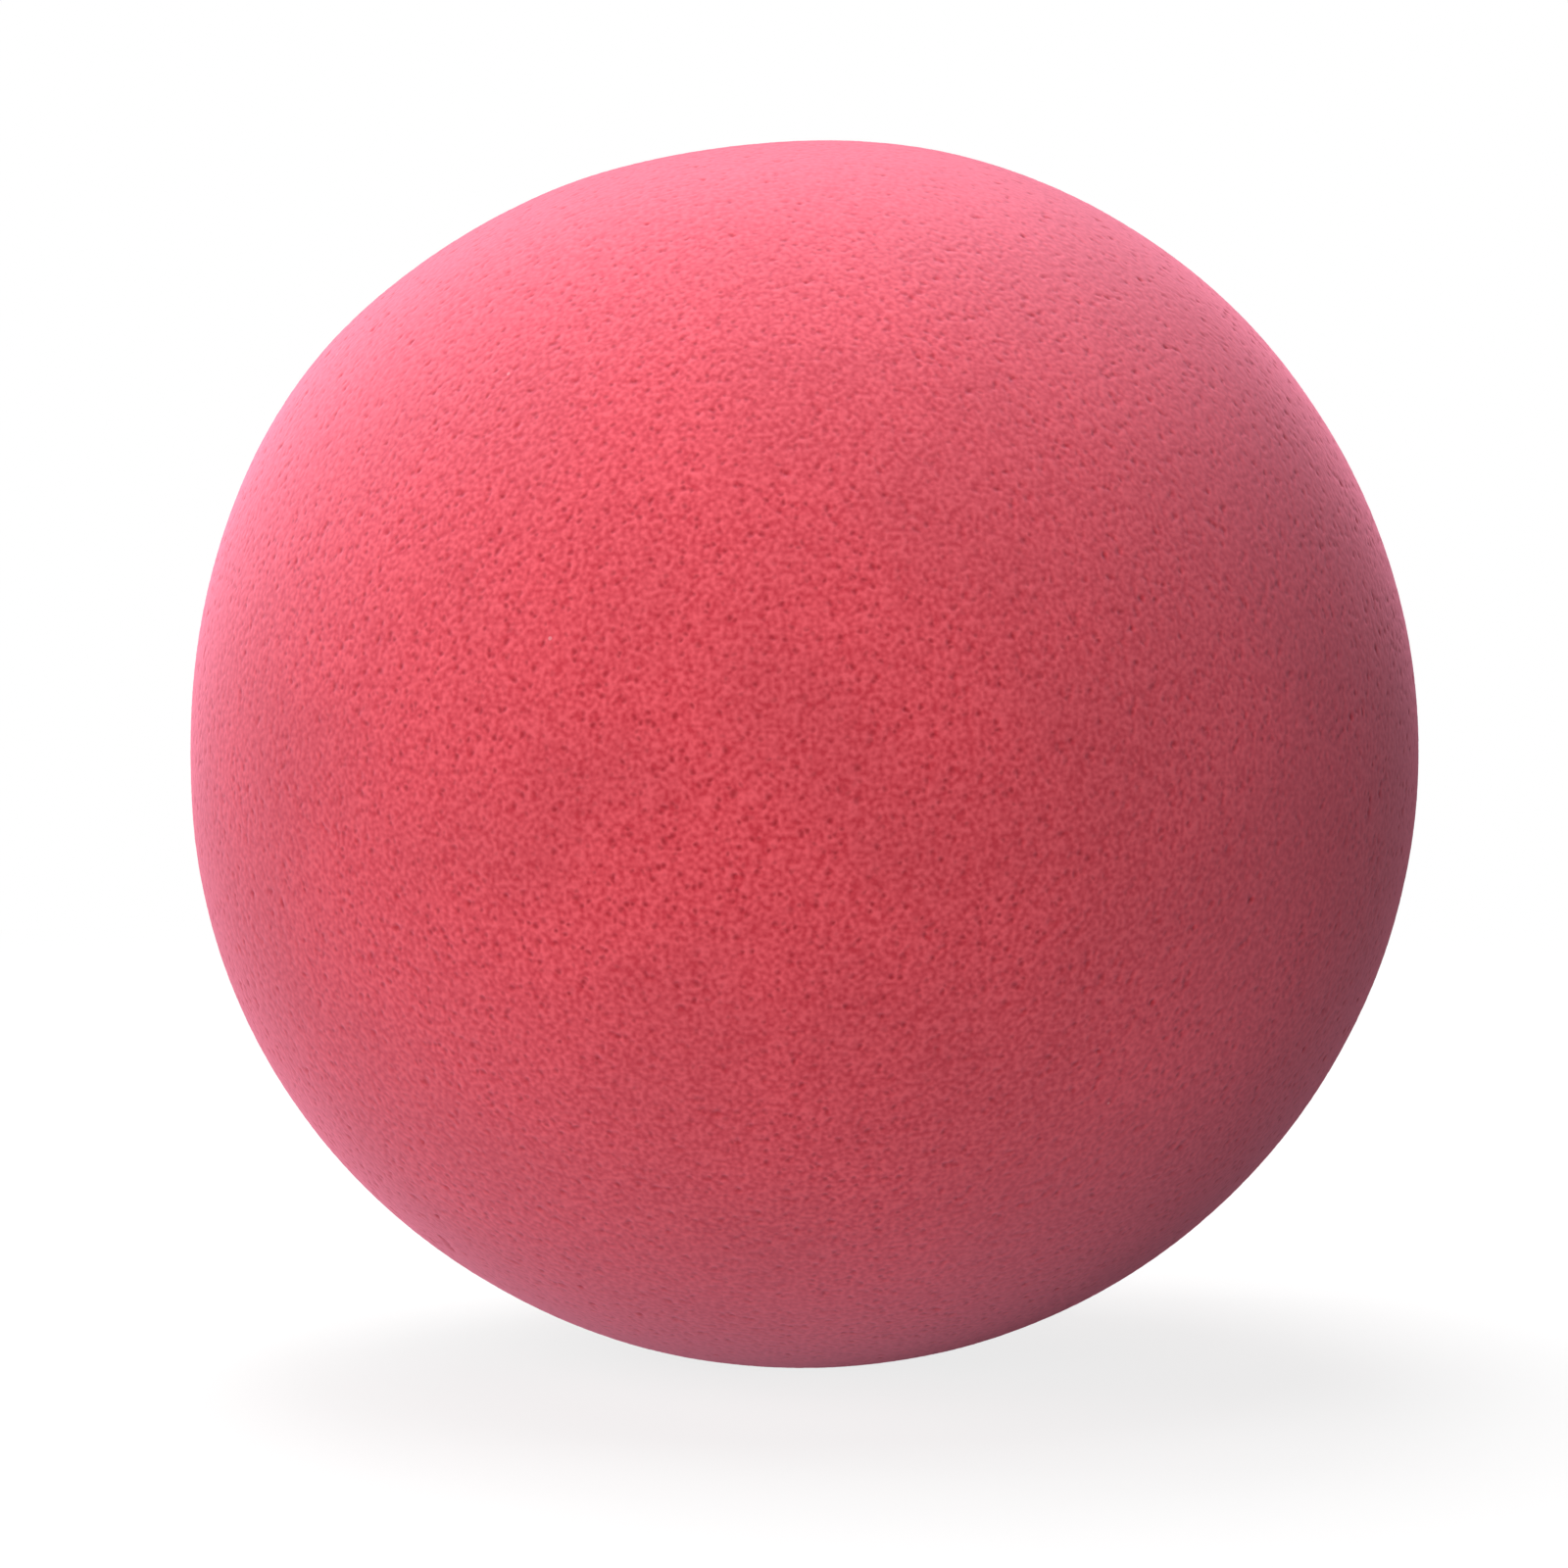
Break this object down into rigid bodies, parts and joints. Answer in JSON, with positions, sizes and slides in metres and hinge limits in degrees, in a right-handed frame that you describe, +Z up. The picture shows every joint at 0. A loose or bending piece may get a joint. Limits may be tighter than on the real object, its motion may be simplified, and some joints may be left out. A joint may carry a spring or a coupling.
{
  "type": "foam basketball",
  "caption": "Soft matt foam play ball, moulded as half-balls with a dense pored skin over a softer core and bonded on a flat seam.",
  "frame": {"origin": "middle of the flat that the ball rests on, at floor level", "axes": "+Z up through the ball's centre, -Y towards the front half and square to the bonded seam, +X to the right seen from the front"},
  "size_m": [0.1791, 0.18, 0.1779],
  "materials": {
    "skin_foam": "matt, velvety, finely pored foam skin",
    "core_foam": "matt open foam",
    "bond_glue": "satin flexible glue"
  },
  "bodies": {
    "root": {"front_skin": "skin_foam", "rear_skin": "skin_foam", "front_core": "core_foam", "rear_core": "core_foam", "bond_film": "bond_glue"}
  },
  "joints": []
}
